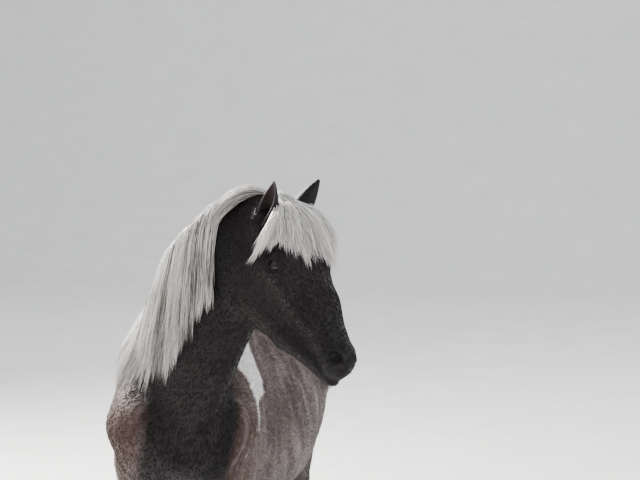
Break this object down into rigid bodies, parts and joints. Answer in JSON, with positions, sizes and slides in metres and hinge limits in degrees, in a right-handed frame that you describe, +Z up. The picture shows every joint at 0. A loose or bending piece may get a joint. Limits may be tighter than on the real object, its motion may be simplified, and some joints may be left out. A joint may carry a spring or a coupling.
{
  "type": "icelandic horse",
  "caption": "Life-size standing Icelandic horse with its head turned to its left, a full pale mane, forelock and tail.",
  "frame": {"origin": "on the floor, under the middle of the whole model's box", "axes": "+Z up; -Y the way the body faces, so +Y towards the tail; +X towards the horse's left side"},
  "size_m": [0.8504, 1.9326, 1.6894],
  "materials": {
    "coat": "short dark brown-black summer coat, greying on the flanks, with white patches",
    "hair": "long silver-white hair with grey-brown streaks",
    "hoof": "dull striped horn",
    "eye": "wet dark brown"
  },
  "bodies": {
    "root": {"torso": "coat", "neck": "coat", "head": "coat", "ear_left": "coat", "ear_right": "coat", "eye_left": "eye", "eye_right": "eye", "mane": "hair", "forelock": "hair", "tail": "hair", "fore_upper_left": "coat", "fore_lower_left": "coat", "fore_hoof_left": "hoof", "fore_upper_right": "coat", "fore_lower_right": "coat", "fore_hoof_right": "hoof", "hind_upper_left": "coat", "hind_lower_left": "coat", "hind_hoof_left": "hoof", "hind_upper_right": "coat", "hind_lower_right": "coat", "hind_hoof_right": "hoof"}
  },
  "joints": []
}
